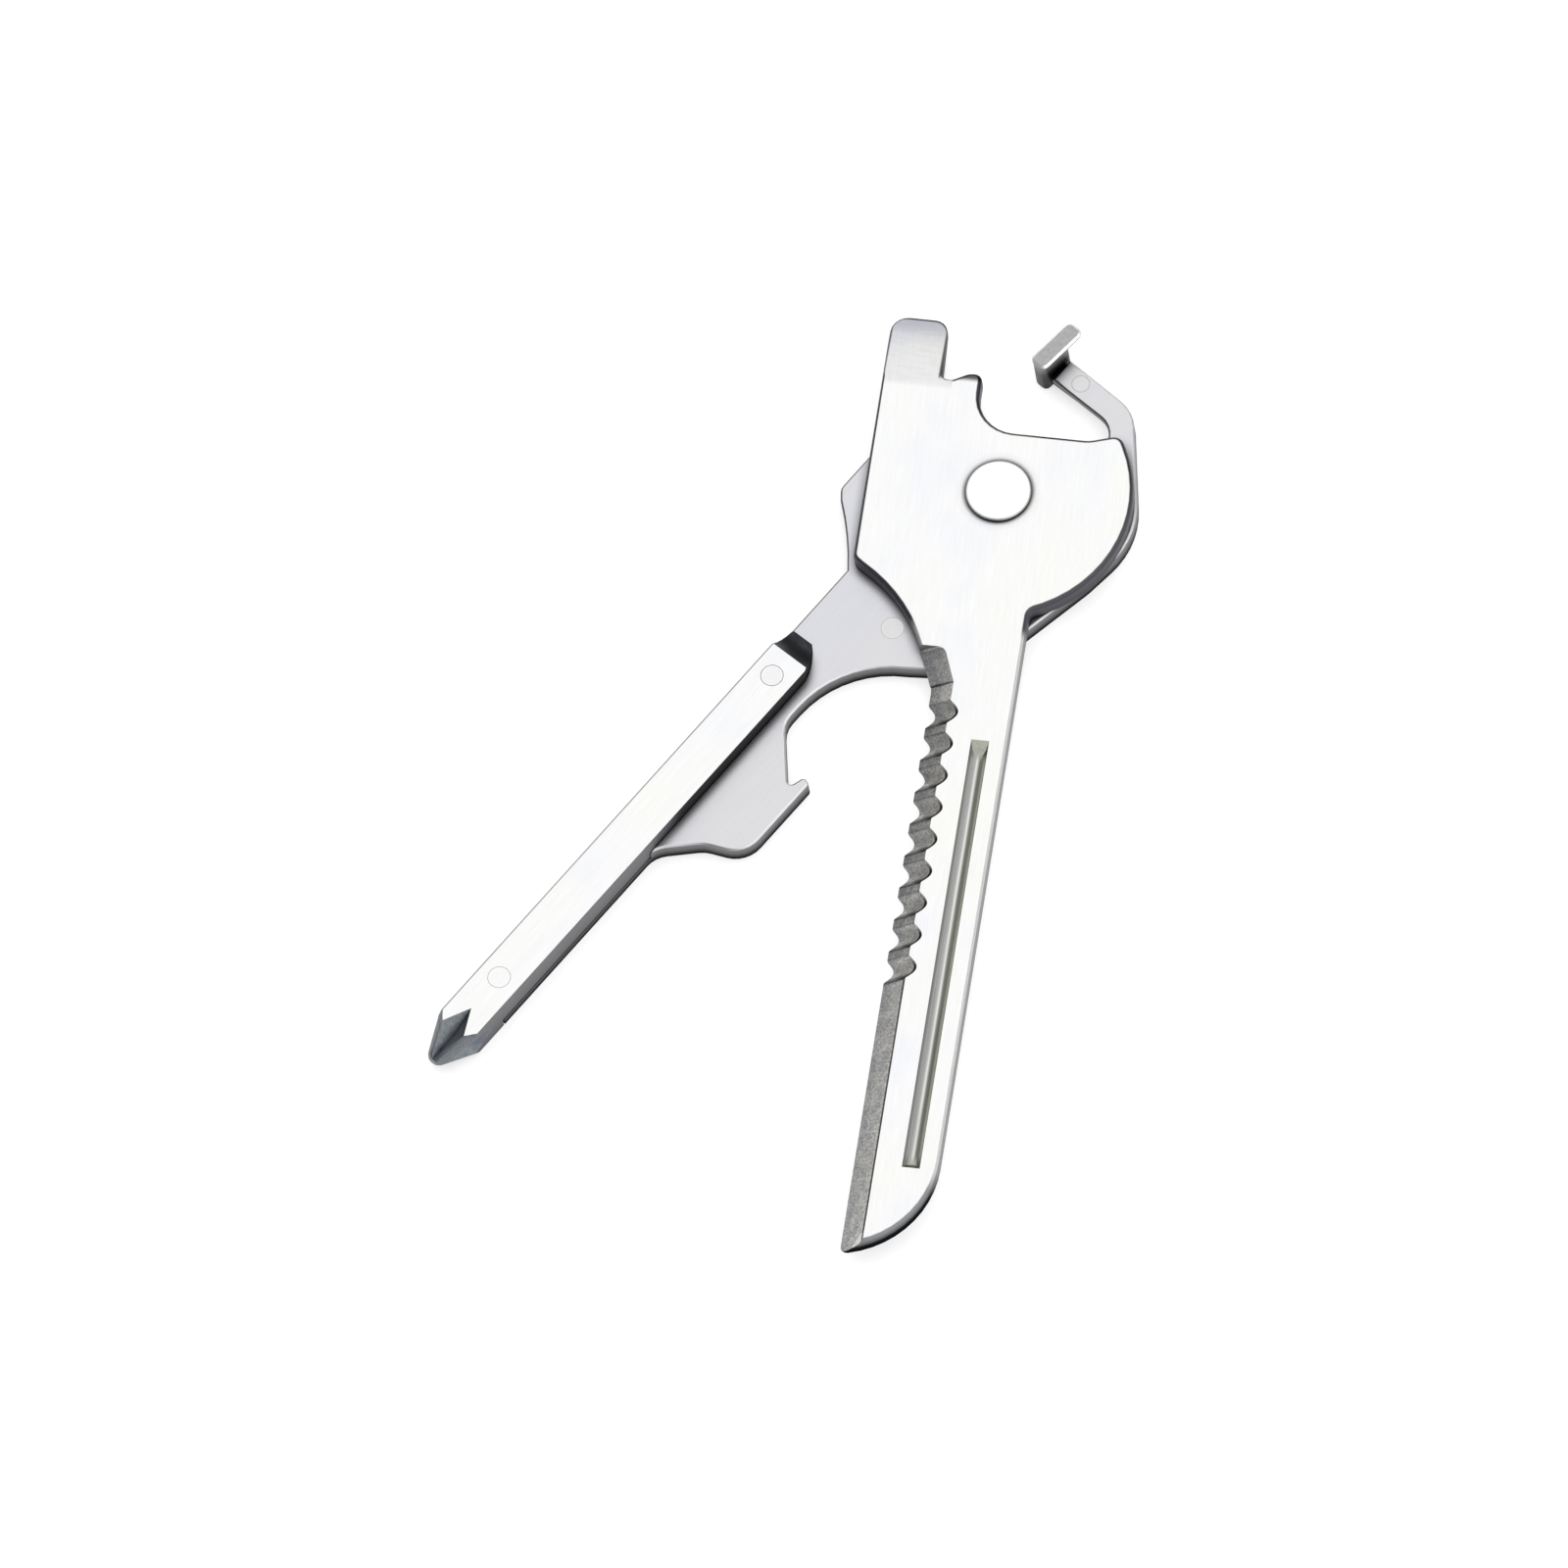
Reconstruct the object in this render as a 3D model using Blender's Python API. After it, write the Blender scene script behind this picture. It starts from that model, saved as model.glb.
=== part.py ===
"""Key-shaped folding multi tool: a knife blade side and a driver and bottle opener side on one rivet.

The frame: origin on the rivet's axis at the level of the back face, +Z out of the front face, the blade
along -Y and the flat screwdriver tongue along +Y. The two sides share the rivet. The tool side is drawn
in its own frame, in which its driver bar runs along -Y too, and stands turned by OPEN_ANGLE from the
blade. Lengths in this file are in millimetres until mesh_object turns them into metres.
"""
import math

import bmesh
import bpy
from mathutils import Matrix, Vector

MM = 0.001
ARC_SAG = 0.015                    # how far an arc may stand off its straight segments, mm

# Driving dimensions, mm
OPEN_ANGLE = 31.8                  # degrees between the blade and the driver bar at rest
BODY_HALF = 9.3                    # pivot axis to the left edges and to the blade's round lobe
TOOL_TOP = 1.6                     # tool plate: from 0 to here
PLATE_GAP = 0.05                   # between the two plates
BLADE_BACK = TOOL_TOP + PLATE_GAP
BLADE_TOP = 3.1
BAR_TOP = 2.95
EDGE_BREAK = 0.12                  # broken edges at the back of both plates
BLADE_ROUND = 0.38                 # rounded front edges of the blade, the tool plate and the bar
TOOL_ROUND = 0.2
BAR_ROUND = 0.12
ROUND_STEPS = 4
FIT = 0.05                         # gap between pieces that touch, and the rivet's running fit

# Rivet stack, mm
SHANK_RADIUS = 1.5
TAIL_RADIUS = 1.15
HEAD_RADIUS = 2.3
HEAD_TOP = 3.4
WASHER_RADIUS = 2.95
RECESS_RADIUS = 3.0
THRUST_FLOOR = 1.35                # floor of the thrust washer's recess, in the front of the tool plate
SPRING_ROOF = 0.9                  # roof of the spring washer's recess, in the back of the tool plate
BACK_LIFT = 0.03                   # the collar and the pins sit this far inside the back face

# Blade, mm
SPINE_X = 3.4
EDGE_X = -2.62
EDGE_LAND = 0.05                   # the plate left standing at the cutting edge
BEVEL_ANGLE = math.radians(40)
BLADE_END = -50.5                  # the spine is straight to here and then bends round to the point
POINT_Y = -57.55
POINT_RADIUS = 7.1
HEEL_START = (-3.8, -11.9)
HEEL_END = (-2.74, -14.6)
HEEL_GRIND_TOP = -12.05
SCALLOPS = 9
SCALLOP_PITCH = 2.42
SCALLOP_START = -15.98             # the first scallop's upper end
SCALLOP_LENGTH = 1.72              # the rest of the pitch is a flat ridge
SCALLOP_DEPTH = 0.42               # square to the bevel
SCALLOP_STEPS = 11
SCALLOP_FULLNESS = 0.5              # below 1 the hollows are round, with crisp ends
GROOVE_X = 1.525
GROOVE_HALF = 0.625
GROOVE_DEPTH = 0.38
GROOVE_ENDS = (-18.75, -51.15)
GROOVE_RUNOUTS = (-3.2, 1.0)       # how far its ends lean, per unit of depth
NOTCH_BOTTOM = 4.6                 # key ring notch in the blade's head
TONGUE_TOP = 12.65
TONGUE_RIGHT = -5.2
TONGUE_GRIND_START = 7.35
TONGUE_TIP_THICKNESS = 0.8
TONGUE_GRIND_EDGE = -4.45

# Tool side in its own frame, mm
BAR_LEFT = -4.92
BAR_RIGHT = -1.74
BAR_AXIS_X = (BAR_LEFT + BAR_RIGHT) / 2
BAR_FOOT = -16.4                   # the ramp at the bar's inner end starts here
BAR_TOP_START = -18.35             # and reaches the bar's top here
SHOULDER_START = -18.7             # the corner beside the ramp is cut back from here
SHOULDER_FOOT = (-3.2, -16.4)
BAR_SEAT = 0.82                    # top of the tang that the bar lies on
TANG_END = -50.85
TIP_END = -56.5
TIP_RADIUS = 0.36
TIP_ANGLE = math.radians(28)
FLUTE_STEEPNESS = 0.9              # rise over run of a flute's walls
PIN_RADIUS = 0.75
UPPER_PIN = (BAR_AXIS_X, -20.25)
LOWER_PIN = (BAR_AXIS_X, -49.25)
NECK_PIN = (0.41, -11.97)
LATCH_PIN = (-1.35, 10.2)
LATCH_PIN_RADIUS = 0.58
OPENER_CENTRE = (7.0, -20.5)
OPENER_RADIUS = 7.82
ARM_BACK = 1.05                    # the latch arm is thinned from the back to here
ARM_THIN_FROM = 2.2
ARM_END = -3.1

# Latch stud, in the tool side's frame, mm
STUD_CENTRE = (-3.9, 10.15)
CAP_CENTRE = (-3.87, 10.8)
STUD_LEAN = math.radians(-4.5)
STEM_SIZE = (1.2, 2.66)
CAP_SIZE = (1.38, 4.0)
CAP_BOTTOM = 3.17
CAP_TOP = 3.55
STUD_BOTTOM = 0.12
TANG_BOTTOM = 0.35
TANG_TOP = 1.0


# ---------------------------------------------------------------- outlines

def arc_steps(radius, turn):
    """How many straight segments an arc of turn radians takes."""
    widest = 2 * math.acos(max(0.96, 1 - ARC_SAG / abs(radius)))
    return max(1, math.ceil(abs(turn) / widest))


def rounded(corners):
    """A closed outline from corners (x, y, radius), each rounded by its radius."""
    points = []
    for i, (x, y, radius) in enumerate(corners):
        corner = Vector((x, y))
        if radius == 0:
            points.append(corner)
            continue
        back = (Vector(corners[i - 1][:2]) - corner).normalized()
        ahead = (Vector(corners[(i + 1) % len(corners)][:2]) - corner).normalized()
        half = back.angle(ahead) / 2
        centre = corner + (back + ahead).normalized() * radius / math.sin(half)
        spoke = corner + back * radius / math.tan(half) - centre
        turn = math.copysign(math.pi - 2 * half, ahead.cross(back))
        steps = arc_steps(radius, turn)
        for k in range(steps + 1):
            points.append(centre + Matrix.Rotation(turn * k / steps, 2) @ spoke)
    return points


def arc(centre, radius, start, end):
    """Corners without a radius along an arc; the angles are in degrees."""
    steps = arc_steps(radius, math.radians(end - start))
    corners = []
    for k in range(steps + 1):
        angle = math.radians(start + (end - start) * k / steps)
        corners.append((centre[0] + radius * math.cos(angle), centre[1] + radius * math.sin(angle), 0))
    return corners


def sagging(start, end, sag):
    """Corners along the arc from start to end, which bulges by sag to the left of that way."""
    start, end = Vector(start), Vector(end)
    chord = end - start
    radius = (chord.length ** 2 / 4 + sag ** 2) / (2 * sag)
    side = Vector((-chord.y, chord.x)).normalized()
    centre = (start + end) / 2 - side * (radius - sag)
    turn = -2 * math.asin(chord.length / 2 / radius)
    steps = arc_steps(radius, turn)
    points = [centre + Matrix.Rotation(turn * k / steps, 2) @ (start - centre) for k in range(steps + 1)]
    return [(point.x, point.y, 0) for point in points]


def rounded_rectangle(centre, size, radius, lean):
    """A rounded rectangle of size (width, length), turned by lean about its centre."""
    corners = []
    for sx, sy in ((-1, -1), (1, -1), (1, 1), (-1, 1)):
        corner = Matrix.Rotation(lean, 2) @ Vector((sx * size[0] / 2, sy * size[1] / 2))
        corners.append((centre[0] + corner.x, centre[1] + corner.y, radius))
    return rounded(corners)


def circle(centre, radius, count=32):
    angles = [math.tau * k / count for k in range(count)]
    return [Vector((centre[0] + radius * math.cos(a), centre[1] + radius * math.sin(a))) for a in angles]


def signed_area(points):
    return sum(points[i - 1].cross(points[i]) for i in range(len(points))) / 2


def inset(points, amount):
    """The outline moved inwards by amount; the points run counter-clockwise."""
    moved = []
    for i, point in enumerate(points):
        before = (point - points[i - 1]).normalized()
        after = (points[(i + 1) % len(points)] - point).normalized()
        middle = (before + after).normalized()
        stretch = 1 / max(0.3, middle.dot(after))
        moved.append(point + Vector((-middle.y, middle.x)) * amount * stretch)
    return moved


# ---------------------------------------------------------------- meshes

def mesh_object(name, bm, parent, matrix=Matrix.Identity(4)):
    """An object from a bmesh in millimetres, moved by matrix and parented to one side's empty."""
    bmesh.ops.recalc_face_normals(bm, faces=bm.faces)
    bm.transform(Matrix.Scale(MM, 4) @ matrix)
    mesh = bpy.data.meshes.new(name)
    bm.to_mesh(mesh)
    bm.free()
    obj = bpy.data.objects.new(name, mesh)
    obj.parent = parent
    bpy.context.collection.objects.link(obj)
    return obj


def skin(bm, rings):
    """Faces between rings of vertices that follow each other."""
    for low, high in zip(rings, rings[1:]):
        for i in range(len(low)):
            bm.faces.new((low[i - 1], low[i], high[i], high[i - 1]))


def plate(name, outline, levels, parent, matrix=Matrix.Identity(4)):
    """A plate from an outline; levels are (height, inset) from one face to the other."""
    if signed_area(outline) < 0:
        outline = outline[::-1]
    bm = bmesh.new()
    rings = []
    for height, amount in levels:
        rings.append([bm.verts.new((p.x, p.y, height)) for p in inset(outline, amount)])
    skin(bm, rings)
    bm.faces.new(rings[0][::-1])
    bm.faces.new(rings[-1])
    return mesh_object(name, bm, parent, matrix)


def turned(name, profile, parent, matrix=Matrix.Identity(4), count=48):
    """A ring turned about Z from a closed profile of (radius, height), or a solid where radii are 0."""
    bm = bmesh.new()
    columns = []
    for k in range(count):
        angle = math.tau * k / count
        turn = (math.cos(angle), math.sin(angle))
        columns.append([bm.verts.new((r * turn[0], r * turn[1], z)) for r, z in profile])
    for k in range(count):
        left, right = columns[k - 1], columns[k]
        for i in range(len(profile)):
            if profile[i - 1][0] > 0 or profile[i][0] > 0:
                bm.faces.new((left[i - 1], right[i - 1], right[i], left[i]))
    bmesh.ops.remove_doubles(bm, verts=bm.verts, dist=1e-5)
    return mesh_object(name, bm, parent, matrix)


def combine(target, other, operation, solver='EXACT'):
    """Cuts other out of target, or joins it on, and hides it."""
    modifier = target.modifiers.new(other.name, 'BOOLEAN')
    modifier.operation = operation
    modifier.solver = solver
    modifier.object = other
    other.hide_render = True
    other.display_type = 'WIRE'


def cut(target, *cutters):
    for cutter in cutters:
        combine(target, cutter, 'DIFFERENCE')


def steel(name, colour, roughness):
    """A steel surface."""
    material = bpy.data.materials.new(name)
    material.use_nodes = True
    shader = material.node_tree.nodes['Principled BSDF']
    shader.inputs['Base Color'].default_value = (*colour, 1)
    shader.inputs['Metallic'].default_value = 1
    shader.inputs['Roughness'].default_value = roughness
    return material


def finish(obj, material):
    obj.data.materials.append(material)
    obj.data.shade_smooth()
    obj.data.set_sharp_from_angle(angle=math.radians(30))


def rounded_levels(bottom, top, radius):
    """Levels of a plate with a broken edge at the back and a rounded one in front."""
    front = []
    for k in range(ROUND_STEPS + 1):
        angle = math.pi / 2 * k / ROUND_STEPS
        front.append((top - radius + radius * math.sin(angle), radius - radius * math.cos(angle)))
    return ((bottom, EDGE_BREAK), (bottom + EDGE_BREAK, 0), *front)


def hole(name, centre, radius, parent, bottom=-1, top=5):
    return plate(name, circle(centre, radius), ((bottom, 0), (top, 0)), parent)


# ---------------------------------------------------------------- blade side

def blade_outline():
    """The blade's outline: tongue, small driver bump, key ring notch, lobe, spine, point, edge and heel."""
    point_centre = (SPINE_X - POINT_RADIUS, BLADE_END)
    head = [
        (-BODY_HALF, TONGUE_TOP, 1.2),
        (TONGUE_RIGHT - 0.2, TONGUE_TOP, 0.95),
        (TONGUE_RIGHT, 8.1, 0.45),
        (-4.45, 8.15, 0.3),
        (-3.4, 8.72, 0.8),
        (-2.42, 8.8, 0.5),
        (-2.38, NOTCH_BOTTOM, 2.7),
        (5.6, NOTCH_BOTTOM, 2.0),
        (7.75, 5.25, 0.75),
    ]
    lobe = arc((0, 0), BODY_HALF, 28, -62)
    neck = [(SPINE_X, -8.64, 0.6)]
    point = arc(point_centre, POINT_RADIUS, 0, -76)
    edge = [
        (EDGE_X, POINT_Y, 0.5),
        (EDGE_X, -15.0, 0),
        (*HEEL_END, 0),
    ]
    throat = sagging(HEEL_START, (-8.6, -6.5), -0.57)
    return rounded(head + lobe + neck + point + edge + throat + [(-BODY_HALF, -6.0, 0.7)])


def scallop_profile():
    """The row of scallops along the blade: points (y, depth square to the bevel)."""
    points = []
    for i in range(SCALLOPS):
        top = SCALLOP_START - SCALLOP_PITCH * i
        for k in range(SCALLOP_STEPS + 1):
            share = k / SCALLOP_STEPS
            points.append((top - SCALLOP_LENGTH * share,
                           SCALLOP_DEPTH * math.sin(math.pi * share) ** (2 * SCALLOP_FULLNESS)))
    return points


def edge_cutter(parent):
    """Removes what is in front of the bevel: a row of scallops, then a straight grind to the point.

    It is drawn on the bevel's plane, with the scallops' profile running along the blade.
    """
    start, end = HEEL_END[1] + 0.02, -60
    section = [(start, 0)] + [(y, -depth) for y, depth in scallop_profile()] + [(end, 0), (end, 3), (start, 3)]
    outline = [Vector(point) for point in section]
    normal = Vector((-math.sin(BEVEL_ANGLE), 0, math.cos(BEVEL_ANGLE)))
    along = Vector((0, 1, 0))
    frame = Matrix((along, normal, along.cross(normal))).transposed().to_4x4()
    top_line = EDGE_X + (BLADE_TOP - BLADE_BACK - EDGE_LAND) / math.tan(BEVEL_ANGLE)
    frame.translation = (top_line, 0, BLADE_TOP)
    return plate('cut_edge', outline, ((-2.4, 0), (1.5, 0)), parent, frame)


def heel_cutter(parent):
    """Removes what is in front of the heel's bevel, between its top end and the first straight grind."""
    slant = (HEEL_END[0] - HEEL_START[0]) / (HEEL_END[1] - HEEL_START[1])
    width = (BLADE_TOP - BLADE_BACK - EDGE_LAND) / math.tan(BEVEL_ANGLE) * math.hypot(1, slant)
    rise = (BLADE_TOP - BLADE_BACK - EDGE_LAND) / width
    bm = bmesh.new()
    rings = []
    for y, eased in ((HEEL_GRIND_TOP, 0.35), (HEEL_GRIND_TOP - 0.12, 0.1), (HEEL_GRIND_TOP - 0.35, 0),
                     (HEEL_END[1], 0)):
        edge = HEEL_START[0] + (y - HEEL_START[1]) * slant - eased
        foot, top = edge - 0.6, edge + width + 0.9
        low = BLADE_BACK + EDGE_LAND - 0.6 * rise
        high = BLADE_TOP + 0.9 * rise
        corners = ((foot, low), (top, high), (top, 5), (foot, 5))
        rings.append([bm.verts.new((x, y, z)) for x, z in corners])
    skin(bm, rings)
    bm.faces.new(rings[0])
    bm.faces.new(rings[-1])
    return mesh_object('cut_heel', bm, parent)


def groove_cutter(parent):
    """The long round-bottomed groove beside the spine."""
    radius = (GROOVE_HALF ** 2 + GROOVE_DEPTH ** 2) / (2 * GROOVE_DEPTH)
    spread = math.degrees(math.asin(GROOVE_HALF / radius))
    centre = (GROOVE_X, BLADE_TOP - GROOVE_DEPTH + radius)
    bottom = arc(centre, radius, -90 - spread, -90 + spread)
    section = bottom + [(GROOVE_X + GROOVE_HALF, 5, 0), (GROOVE_X - GROOVE_HALF, 5, 0)]
    bm = bmesh.new()
    rings = []
    for end, lean in zip(GROOVE_ENDS, GROOVE_RUNOUTS):
        rings.append([bm.verts.new((x, end + lean * (BLADE_TOP - z), z)) for x, z, _ in section])
    skin(bm, rings)
    for ring in rings:
        bmesh.ops.contextual_create(bm, geom=ring)
    return mesh_object('cut_groove', bm, parent)


def tongue_cutter(parent):
    """The flat screwdriver's long taper, cut from the front down to the tip's thickness."""
    drop = BLADE_TOP - BLADE_BACK - TONGUE_TIP_THICKNESS
    slope = drop / (TONGUE_TOP - TONGUE_GRIND_START)
    end = TONGUE_TOP + 1
    side = [Vector((TONGUE_GRIND_START, BLADE_TOP)), Vector((end, BLADE_TOP - slope * (end - TONGUE_GRIND_START))),
            Vector((end, 5)), Vector((TONGUE_GRIND_START, 5))]
    sideways = Matrix(((0, 0, 1, 0), (1, 0, 0, 0), (0, 1, 0, 0), (0, 0, 0, 1)))
    return plate('cut_tongue', side, ((-BODY_HALF - 1, 0), (TONGUE_GRIND_EDGE, 0)), parent, sideways)


def blade_plate(parent, material):
    blade = plate('blade_plate', blade_outline(), rounded_levels(BLADE_BACK, BLADE_TOP, BLADE_ROUND), parent)
    combine(blade, edge_cutter(parent), 'DIFFERENCE', 'MANIFOLD')
    cut(blade, heel_cutter(parent), groove_cutter(parent), tongue_cutter(parent),
        hole('cut_blade_hole', (0, 0), SHANK_RADIUS + FIT, parent))
    finish(blade, material)


def rivet_stack(parent, bright, dull):
    """The rivet through both plates with its washers, held by a collar on its tail."""
    shoulder = SPRING_ROOF + BACK_LIFT
    head_bottom = BLADE_TOP + FIT / 2
    rivet = turned('pivot_rivet', (
        (0, 0), (TAIL_RADIUS, 0), (TAIL_RADIUS, shoulder), (SHANK_RADIUS, shoulder),
        (SHANK_RADIUS, head_bottom), (HEAD_RADIUS, head_bottom), (HEAD_RADIUS, HEAD_TOP - 0.13),
        (HEAD_RADIUS - 0.12, HEAD_TOP - 0.05), (HEAD_RADIUS - 0.4, HEAD_TOP), (0, HEAD_TOP)), parent)
    thrust = turned('thrust_washer', (
        (SHANK_RADIUS + FIT, THRUST_FLOOR + 0.02), (WASHER_RADIUS, THRUST_FLOOR + 0.02),
        (WASHER_RADIUS, BLADE_BACK - 0.02), (SHANK_RADIUS + FIT, BLADE_BACK - 0.02)), parent)
    spring = turned('spring_washer', (
        (TAIL_RADIUS + 0.1, 0.66), (WASHER_RADIUS - 0.1, 0.5), (WASHER_RADIUS - 0.1, 0.7),
        (TAIL_RADIUS + 0.1, 0.86)), parent)
    collar = turned('rivet_collar', (
        (TAIL_RADIUS + FIT, BACK_LIFT), (WASHER_RADIUS - 0.3, BACK_LIFT), (WASHER_RADIUS - 0.15, 0.18),
        (WASHER_RADIUS - 0.15, 0.45), (TAIL_RADIUS + FIT, 0.45)), parent)
    finish(rivet, bright)
    for piece in (thrust, spring, collar):
        finish(piece, dull)


# ---------------------------------------------------------------- tool side

def bar_shoulder(gap):
    """The curve on which the bar's inner right corner is cut back, moved outwards by gap."""
    return sagging((BAR_RIGHT + gap, SHOULDER_START), (SHOULDER_FOOT[0] + gap, SHOULDER_FOOT[1] + gap), -0.2)


def tool_outline():
    """The tool plate's outline, from the tang's end round the opener, the head and the latch arm."""
    tang = [(BAR_LEFT, TANG_END, 0), (BAR_RIGHT, TANG_END, 0), (BAR_RIGHT, -34.9, 2.0)]
    hook = [
        (0.7, -32.45, 2.2),
        (3.5, -31.3, 2.2),
        (3.5, -24.5, 0.3),
        (2.87, -24.25, 0.3),
        (2.5, -25.65, 0.3),
        (-0.82, -22.05, 1.8),
    ]
    opener = arc(OPENER_CENTRE, OPENER_RADIUS, 180, 120)
    head = [
        (6.95, -11.0, 1.0),
        (8.85, -1.2, 5.0),
        (9.35, 3.75, 6.2),
        (2.8, 10.93, 2.8),
        (ARM_END, 11.15, 0),
        (ARM_END, 9.25, 0),
        (2.3, 9.1, 1.7),
        (4.9, 4.5, 1.5),
        (-1.8, 4.35, 1.2),
        (-4.6, 2.7, 1.0),
        (-BODY_HALF, 2.9, 1.5),
    ]
    wing = [(-BODY_HALF, -6.1, 0.7)] + sagging((-8.7, -6.8), (BAR_LEFT, -10.55), 0.17)
    return rounded(tang + hook + opener + head + wing)


def tool_plate(parent, material):
    tool = plate('tool_plate', tool_outline(), rounded_levels(0, TOOL_TOP, TOOL_ROUND), parent)
    seat = plate('cut_bar_seat', rounded(
        [(BAR_LEFT - 1, TANG_END - 1, 0), (BAR_RIGHT + FIT, TANG_END - 1, 0)]
        + bar_shoulder(FIT) + [(BAR_LEFT - 1, BAR_FOOT + FIT, 0)]),
        ((BAR_SEAT, 0), (5, 0)), parent)
    arm_back = plate('cut_arm_back', rounded([
        (ARM_END - 1, 8, 0), (ARM_THIN_FROM, 8, 0), (ARM_THIN_FROM, 12, 0), (ARM_END - 1, 12, 0)]),
        ((-1, 0), (ARM_BACK, 0)), parent)
    bore = SHANK_RADIUS + FIT
    pivot = turned('cut_pivot_bore', (
        (0, -1), (RECESS_RADIUS, -1), (RECESS_RADIUS, SPRING_ROOF), (bore, SPRING_ROOF),
        (bore, THRUST_FLOOR), (RECESS_RADIUS, THRUST_FLOOR), (RECESS_RADIUS, 5), (0, 5)), parent)
    cut(tool, seat, arm_back, pivot,
        hole('cut_tang_hole_upper', UPPER_PIN, PIN_RADIUS + FIT, parent),
        hole('cut_tang_hole_lower', LOWER_PIN, PIN_RADIUS + FIT, parent),
        hole('cut_neck_hole', NECK_PIN, PIN_RADIUS + FIT, parent),
        hole('cut_arm_hole', LATCH_PIN, LATCH_PIN_RADIUS + FIT, parent))
    finish(tool, material)


def flute_cutter(name, side, parent):
    """One of the cross tip's four flutes: a wide groove that deepens towards the tip."""
    half_width = 2.6
    stations = ((5.0, 2.05), (4.35, 1.5), (2.35, 0.6), (-1, 0.35))
    bm = bmesh.new()
    rings = []
    for above_tip, apex in stations:
        y = TIP_END + above_tip
        lip = apex + half_width * FLUTE_STEEPNESS
        section = ((0, apex), (half_width, lip), (-half_width, lip))
        rings.append([bm.verts.new((x, y, z)) for x, z in section])
    skin(bm, rings)
    bm.faces.new(rings[0])
    bm.faces.new(rings[-1])
    turn = Matrix.Rotation(math.radians(90 * side), 4, 'Y')
    place = Matrix.Translation((BAR_AXIS_X, 0, BAR_TOP / 2))
    return mesh_object(name, bm, parent, place @ turn)


def driver_bar(parent, material):
    """The square cross-point driver bar, seated on the tool plate's tang and ramped at its inner end."""
    run = BAR_FOOT - BAR_TOP_START
    ramp = sagging((BAR_TOP_START, BAR_TOP), (BAR_FOOT, TOOL_TOP), -0.12 * run)
    side = rounded([
        (BAR_FOOT, BAR_SEAT + FIT, 0), (TANG_END - FIT, BAR_SEAT + FIT, 0), (TANG_END - FIT, BACK_LIFT, 0),
        (TIP_END - 0.5, BACK_LIFT, 0), (TIP_END - 0.5, BAR_TOP, 0)] + ramp)
    sideways = Matrix(((0, 0, 1, 0), (1, 0, 0, 0), (0, 1, 0, 0), (0, 0, 0, 1)))
    bar = plate('driver_bar', side, (
        (BAR_LEFT, BAR_ROUND), (BAR_LEFT + 0.3 * BAR_ROUND, 0.3 * BAR_ROUND), (BAR_LEFT + BAR_ROUND, 0),
        (BAR_RIGHT - BAR_ROUND, 0), (BAR_RIGHT - 0.3 * BAR_ROUND, 0.3 * BAR_ROUND), (BAR_RIGHT, BAR_ROUND)),
        parent, sideways)
    shoulder_radius = TIP_RADIUS + 0.25
    cone_foot = TIP_END + 0.22
    cone_top = cone_foot + (2.6 - shoulder_radius) / math.tan(TIP_ANGLE)
    along_bar = Matrix.Translation((BAR_AXIS_X, 0, BAR_TOP / 2)) @ Matrix.Rotation(math.radians(-90), 4, 'X')
    cone = turned('cut_tip_cone', ((0, TIP_END), (TIP_RADIUS, TIP_END), (shoulder_radius, cone_foot),
                                   (2.6, cone_top), (4, cone_top), (4, TIP_END - 2), (0, TIP_END - 2)),
                  parent, along_bar)
    shoulder = plate('cut_bar_shoulder', rounded(
        bar_shoulder(0) + [(SHOULDER_FOOT[0], BAR_FOOT + 1, 0), (BAR_RIGHT + 1, BAR_FOOT + 1, 0),
                           (BAR_RIGHT + 1, SHOULDER_START, 0)]), ((-1, 0), (5, 0)), parent)
    flutes = [flute_cutter(f'cut_flute_{side + 1}', side, parent) for side in range(4)]
    cut(bar, cone, shoulder, *flutes,
        hole('cut_bar_hole_upper', UPPER_PIN, PIN_RADIUS + FIT, parent),
        hole('cut_bar_hole_lower', LOWER_PIN, PIN_RADIUS + FIT, parent))
    finish(bar, material)


def pins(parent, material):
    """The pins whose flush ends show as small circles."""
    for name, centre, radius, bottom, top in (
            ('driver_pin_upper', UPPER_PIN, PIN_RADIUS, BACK_LIFT, BAR_TOP),
            ('driver_pin_lower', LOWER_PIN, PIN_RADIUS, BACK_LIFT, BAR_TOP),
            ('neck_pin', NECK_PIN, PIN_RADIUS, BACK_LIFT, TOOL_TOP),
            ('latch_pin', LATCH_PIN, LATCH_PIN_RADIUS, TANG_BOTTOM, TOOL_TOP)):
        pin = plate(name, circle(centre, radius), ((bottom, 0.08), (bottom + 0.08, 0), (top, 0)), parent)
        finish(pin, material)


def latch_stud(parent, material):
    """The T-shaped stud at the arm's end: cap, stem, and a tang pinned under the arm."""
    cap = rounded_rectangle(CAP_CENTRE, CAP_SIZE, 0.5, STUD_LEAN)
    stud = plate('latch_stud', cap, ((CAP_BOTTOM, 0.1), (CAP_BOTTOM + 0.1, 0), (CAP_TOP - 0.15, 0),
                                     (CAP_TOP, 0.17)), parent)
    stem = rounded_rectangle(STUD_CENTRE, STEM_SIZE, 0.4, STUD_LEAN)
    tang = [(-3.9, 9.4, 0.3), (-0.5, 9.4, 0.3), (-0.5, 10.95, 0.3), (-3.9, 10.95, 0.3)]
    combine(stud, plate('add_stem', stem, ((STUD_BOTTOM, 0), (CAP_BOTTOM + 0.2, 0)), parent), 'UNION')
    combine(stud, plate('add_tang', rounded(tang), ((TANG_BOTTOM, 0), (TANG_TOP, 0)), parent), 'UNION')
    cut(stud, hole('cut_stud_hole', LATCH_PIN, LATCH_PIN_RADIUS + FIT, parent, top=TANG_TOP + 0.2))
    finish(stud, material)


# ---------------------------------------------------------------- the object

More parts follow.
